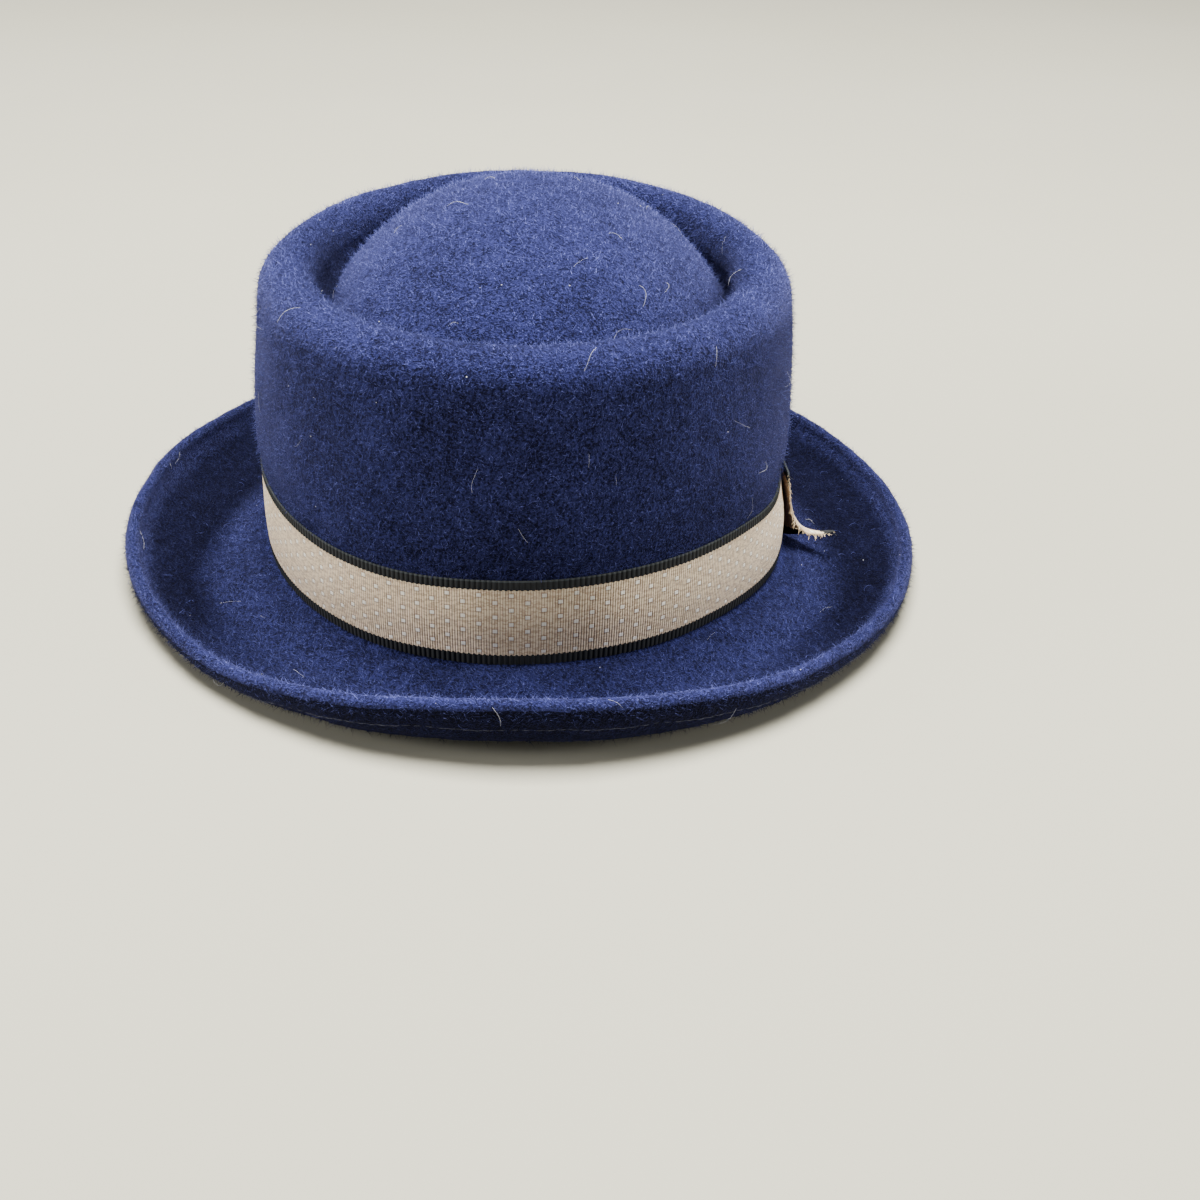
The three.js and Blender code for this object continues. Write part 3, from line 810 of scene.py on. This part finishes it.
def sheet_solid(name, grid, reverse_first=False):
    """A ribbon of two skins from its middle surface, whose rows run across it. Returns its length too."""
    run = run_along(grid[:, grid.shape[1] // 2])
    weave = np.zeros(grid.shape)
    weave[..., 0] = run[:, None]
    weave[..., 1] = mix(RIBBON_WIDTH, 0, np.linspace(0, 1, grid.shape[1]))
    weave[..., 2] = float(reverse_first)
    turned = weave[:, ::-1].copy()
    turned[..., 2] = float(not reverse_first)
    normals = grid_normals(grid, False)
    front, back = grid + normals * BOW_RIBBON / 2, grid - normals * BOW_RIBBON / 2
    loops = np.concatenate([front, back[:, ::-1]], 1)
    rows, columns = loops.shape[:2]
    j = np.arange(columns // 2 - 1)
    last = (rows - 1) * columns
    cap = np.stack([j, j + 1, columns - 2 - j, columns - 1 - j], -1)
    quads = np.concatenate([torus_faces(rows, columns), cap, (cap + last)[:, ::-1]])
    ob = mesh_object(name, loops, quads, weave=np.concatenate([weave, turned], 1))
    ob.data.materials.append(ribbon)
    return ob, run[-1]


def tail_piece():
    """The ribbon end that comes forward from under the knot and flares out over the brim."""
    across, along = 48, 64
    waist = mix(KNOT_FRONT, KNOT_BACK, 0.85)
    flare_from = 0.22  # this angle past the knot
    curve = spline(CUT_END, np.linspace(0, 1, across + 1))
    share = np.linspace(1, -1, across + 1)
    rows = []
    for i in range(along + 1):
        t = mix(waist, CUT_END_AT, i / along)
        past = KNOT_FRONT - t
        flare = smooth((past - flare_from) / (KNOT_FRONT - CUT_END_AT - flare_from)) ** 6
        lift = mix(2 * LAYER, 0, smooth(past / OPENING))
        height = band_middle(t) + share * half_height(past)
        rest = wall_offset(height, t) + BAND_OUTSIDE + GAP + BOW_RIBBON / 2 + lift
        rows.append(on_oval(mix(rest, curve[:, 0], flare), mix(height, BREAK_HEIGHT + curve[:, 1], flare), t))
    grid = np.stack(rows)
    ob, length = sheet_solid("ribbon_tail", grid)
    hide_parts("bow_tail")
    return ob, grid, length


def loop_piece():
    """The loop that goes back from the knot: its outer layer, the turn, and the inner layer."""
    across, along, turn_steps = 30, 40, 12
    waist = mix(KNOT_FRONT, KNOT_BACK, 0.15)
    inner = BAND_OUTSIDE + LAYER + GAP + BOW_RIBBON / 2
    outer = inner + 2 * LAYER
    # Each station: how far along the loop, and the layer it is on, 1 outer and -1 inner.
    stations = [(i / along, 1.0) for i in range(along + 1)]
    stations += [(1.0, math.cos(math.pi * i / turn_steps)) for i in range(1, turn_steps)]
    stations += [(i / along, -1.0) for i in range(along, -1, -1)]
    share_across = np.linspace(1, -1, across + 1)
    rows = []
    for share, layer in stations:
        turned = math.sqrt(1 - layer * layer) * (outer - inner) / 2
        t = mix(waist, LOOP_END, share) + turned / CROWN_HALF_LENGTH
        past = min(1.0, max(0.0, (t - KNOT_BACK) / (LOOP_END - KNOT_BACK)))
        puff = LOOP_PUFF * math.sin(math.pi * past)
        height = band_middle(t) + share_across * half_height(t - KNOT_BACK)
        out = (inner + outer) / 2 + layer * (outer - inner) / 2 + (puff * layer if layer > 0 else 0)
        rows.append(on_oval(wall_offset(height, t) + out, height, t))
    ob, length = sheet_solid("ribbon_loop", np.stack(rows), reverse_first=True)
    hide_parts("bow_loop")
    return ob, length


def knot_outline(t, inset):
    """The knot's section at angle t: a rounded box round the bow's layers, grown by inset."""
    corner_steps = 6
    low = BAND_OUTSIDE + GAP - inset
    high = BAND_OUTSIDE + GAP + BOW_RIBBON * 2 + 3 * LAYER + GAP + inset
    half = WAIST_HALF_HEIGHT + GAP + BOW_RIBBON + inset
    corner = 1.6 + inset
    points = []
    for out, up, start in (
        (high - corner, half - corner, 0),
        (low + corner, half - corner, math.pi / 2),
        (low + corner, -half + corner, math.pi),
        (high - corner, -half + corner, 1.5 * math.pi),
    ):
        for k in np.linspace(0, 1, corner_steps):
            a = start + k * math.pi / 2
            height = band_middle(t) + up + corner * math.sin(a)
            points.append(on_oval(wall_offset(height, t) + out + corner * math.cos(a), height, t))
    return np.array(points)


def resample(loop, count):
    """Even points round a closed loop, and its length."""
    closed = np.concatenate([loop, loop[:1]])
    run = run_along(closed)
    at = np.linspace(0, run[-1], count, endpoint=False)
    return np.stack([np.interp(at, run, closed[:, i]) for i in range(3)], -1), run[-1]


def knot_piece():
    """The gathered wrap round the bow's waist. Returns its length and width too."""
    steps, around = 20, 120
    outer, inner = [], []
    for i in range(steps + 1):
        k = i / steps
        t = mix(KNOT_FRONT, KNOT_BACK, k)
        gather = 0.25 * math.sin(math.pi * k) + 0.12 * math.sin(3 * TURN * k)
        a, length = resample(knot_outline(t, -0.35 + gather * 0.8), around)
        b, _ = resample(knot_outline(t, -BOW_RIBBON), around)
        outer.append(a)
        inner.append(b)
    grid = np.stack(outer + inner[::-1])
    weave = np.zeros(grid.shape)
    weave[..., 0] = np.linspace(0, length, around, endpoint=False)
    width = np.linspace(0, 1, steps + 1)
    both = np.concatenate([width, width[::-1]])
    strip = float(np.linalg.norm(grid[0, 0] - grid[steps, 0]))
    weave[..., 1] = (RIBBON_WIDTH / 2 + strip * (both - 0.5))[:, None]
    ob = mesh_object("ribbon_knot", grid, torus_faces(len(grid), around, True), weave=weave)
    ob.data.materials.append(ribbon)
    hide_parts("bow_knot")
    return ob, length, strip


tail, tail_grid, tail_length = tail_piece()
loop, loop_length = loop_piece()
knot, knot_length, knot_width = knot_piece()


# ---- Threads ----
def tubes(name, paths, radii, material, sides):
    """Closed thin tubes along point lists, joined in one mesh."""
    helper = np.array([0.31, 0.54, 0.78])  # not parallel to any thread
    turns = TURN * np.arange(sides) / sides
    points, quads, triangles = [], [], []
    base = 0
    for path, radius in zip(paths, radii):
        p = np.asarray(path, float)
        direction = unit(np.gradient(p, axis=0))
        a = unit(np.cross(direction, helper))
        b = np.cross(direction, a)
        ring = a[:, None] * np.cos(turns)[:, None] + b[:, None] * np.sin(turns)[:, None]
        points.append((p[:, None] + ring * radius).reshape(-1, 3))
        k = base + np.arange(len(p) - 1)[:, None] * sides
        near, far = k + np.arange(sides), k + (np.arange(sides) + 1) % sides
        quads.append(np.stack([near, far, far + sides, near + sides], -1).reshape(-1, 4))
        end = base + (len(p) - 1) * sides
        for side in range(1, sides - 1):
            triangles.append((base, base + side + 1, base + side))
            triangles.append((end, end + side, end + side + 1))
        base += len(p) * sides
    ob = mesh_object(name, np.concatenate(points), np.concatenate(quads), triangles)
    ob.data.materials.append(material)


def curl(start, normal, length, lift, bends, steps):
    """A stray fibre that lies on the felt and curls."""
    (a,), (b,) = frames(normal[None])
    heading, p, path = 0.0, start + normal * 0.1, []
    turn = rng.normal(0, bends)
    for k in range(steps):
        path.append(p)
        turn = turn * 0.92 + rng.normal(0, bends * 0.45)
        heading += turn / steps
        rise = lift * math.cos(math.pi * k / (steps - 1))
        step = (a * math.cos(heading) + b * math.sin(heading)) + normal * rise
        p = p + step * (length / steps)
    return np.array(path)


def hidden(p):
    """Which points lie under the ribbon."""
    margin = 6
    t, foot = oval_angle(p), band_foot(oval_angle(p))
    out = p[:, 0] ** 2 / (CROWN_HALF_WIDTH + margin) ** 2 + p[:, 1] ** 2 / (CROWN_HALF_LENGTH + margin) ** 2
    return (out < 1) & (p[:, 2] > foot - 1) & (p[:, 2] < foot + RIBBON_WIDTH + 1 - slack_top(t))


def uncovered_samples(count):
    p, n = surface_samples(count, 0, len(skin))
    clear = ~hidden(p)
    return p[clear], n[clear]


def stray_fibres(name, count, length, radius, material, bends, steps):
    """Thin fibres all over the felt. length and radius are each a least and a most."""
    places = zip(*uncovered_samples(count))
    paths = [curl(q, m, rng.uniform(*length), rng.uniform(0.1, 0.9), bends, steps) for q, m in places]
    paths = [path for path in paths if path[:, 2].min() > 0.1]
    tubes(name, paths, [rng.uniform(*radius) for _ in paths], material, 3)


stray_fibres("stray_wool", 700, (1.8, 4.6), (0.03, 0.05), nap, 1.6, 8)
stray_fibres("pale_fibres", 100, (2.0, 9.0), (0.018, 0.030), lint, 0.8, 14)


def specks(name, count, material):
    """Tiny bits of lint: closed eight-sided grains."""
    p, n = uncovered_samples(count)
    a, b = frames(n)
    size = rng.uniform(0.10, 0.24, (len(p), 1))
    centre = p + n * 0.25
    points = np.stack([centre + corner * size for corner in (a, b, -a, -b, n, -n)], 1)
    k = np.arange(len(p))[:, None] * 6
    faces = [k + f for i in range(4) for f in ([i, (i + 1) % 4, 4], [(i + 1) % 4, i, 5])]
    ob = mesh_object(name, points, triangles=np.concatenate(faces))
    ob.data.materials.append(material)


specks("lint_specks", 90, lint)


def welt_stitches():
    """The thread that holds the welt: a low wavy line of stitches round the outside of the roll."""
    seam_row, radius, count, stitches, around = -5, 0.11, 1500, 250, 4
    row = skin[seam_row] + skin_normals[seam_row] * 0.02
    share = np.arange(count) / count
    place = share * COLUMNS
    i = np.floor(place).astype(int)
    path = mix(row[i], row[(i + 1) % COLUMNS], (place - i)[:, None])
    normal = skin_normals[seam_row][i]
    path = path + normal * (0.10 * np.sin(share * TURN * stitches))[:, None]
    path[:, 2] += 0.35 * np.sin(share * TURN * 31) * np.sin(share * TURN * 7 + 1)
    direction = unit(np.roll(path, -1, 0) - np.roll(path, 1, 0))
    side = np.cross(direction, normal)
    angles = TURN * np.arange(around) / around
    grid = np.stack([path + radius * (normal * math.cos(a) + side * math.sin(a)) for a in angles])
    ob = mesh_object("welt_stitches", grid, torus_faces(around, count, True))
    ob.data.materials.append(stitch_thread)


welt_stitches()


def frayed_end():
    """Loose threads along the tail's cut end, pale in the middle and dark at the borders."""
    threads = 150
    edge_row = tail_grid[-1]
    out = unit(edge_row - tail_grid[-2])
    pale, dark = [], []
    for _ in range(threads):
        at = rng.uniform(0, len(edge_row) - 1.001)
        i = int(at)
        start = mix(edge_row[i], edge_row[i + 1], at - i)
        heading = out[i] + rng.normal(0, 0.28, 3)
        length = min(2.2, rng.gamma(2.5, 0.26) + 0.25)
        bend = rng.normal(0, 0.35, 3) + np.array([0, 0, -0.25])
        steps = np.linspace(0, 1, 5)[:, None]
        path = start - out[i] * 0.25 + (heading * steps + bend * steps**2) * length
        height = RIBBON_WIDTH * (1 - at / (len(edge_row) - 1))
        border = height < BORDER_LOW - 0.2 or height > BORDER_HIGH + 0.1
        (dark if border and rng.random() < 0.6 else pale).append(path)
    tubes("frayed_threads", pale, [rng.uniform(0.05, 0.10) for _ in pale], fray, 4)
    tubes("frayed_border", dark, [rng.uniform(0.05, 0.09) for _ in dark], selvedge, 4)


frayed_end()


# ---- Floor, light and camera, in metres ----
LIT_PLACE = Vector((0, 0, 0.05))
CAMERA_AT = (0.0058, -0.529, 0.2585)
YAW, PITCH, ROLL = 0.040, 0.493, 0.032


def add_floor():
    size = 6.0
    mesh = bpy.data.meshes.new("floor")
    mesh.from_pydata([(-size, -size, 0), (size, -size, 0), (size, size, 0), (-size, size, 0)], [], [(0, 1, 2, 3)])
    ob = link("floor", mesh)
    ob.data.materials.append(floor_material())


def add_area(name, location, size, power, color):
    """A soft light that faces the hat: size in metres, power in watts."""
    light = bpy.data.lights.new(name, "AREA")
    light.shape = "RECTANGLE"
    light.size, light.size_y = size
    light.energy = power
    light.color = color
    ob = link(name, light)
    ob.location = location
    ob.rotation_mode = "QUATERNION"
    ob.rotation_quaternion = (LIT_PLACE - Vector(location)).to_track_quat("-Z", "Y")


add_floor()
add_area("ceiling", (0.0, 0.18, 1.9), (1.3, 1.1), 258, (1.0, 0.985, 0.95))
add_area("left_window", (-1.4, -0.35, 0.42), (0.6, 0.6), 22, (1.0, 0.985, 0.97))
add_area("right_window", (1.4, -0.35, 0.42), (0.6, 0.6), 16, (1.0, 0.985, 0.97))

world = bpy.data.worlds.new("studio")
world.use_nodes = True
background = world.node_tree.nodes["Background"]
background.inputs["Color"].default_value = (0.9, 0.93, 1.0, 1.0)
background.inputs["Strength"].default_value = 0.13
bpy.context.scene.world = world

camera_data = bpy.data.cameras.new("camera")
camera_data.lens, camera_data.sensor_width = 51.0, 36.0
camera_data.clip_start, camera_data.clip_end = 0.01, 60
camera = link("camera", camera_data)
turn = Matrix.Rotation(-YAW, 4, "Z") @ Matrix.Rotation(math.pi / 2 - PITCH, 4, "X") @ Matrix.Rotation(ROLL, 4, "Z")
camera.matrix_world = Matrix.Translation(CAMERA_AT) @ turn
bpy.context.scene.camera = camera

bpy.context.view_layer.update()
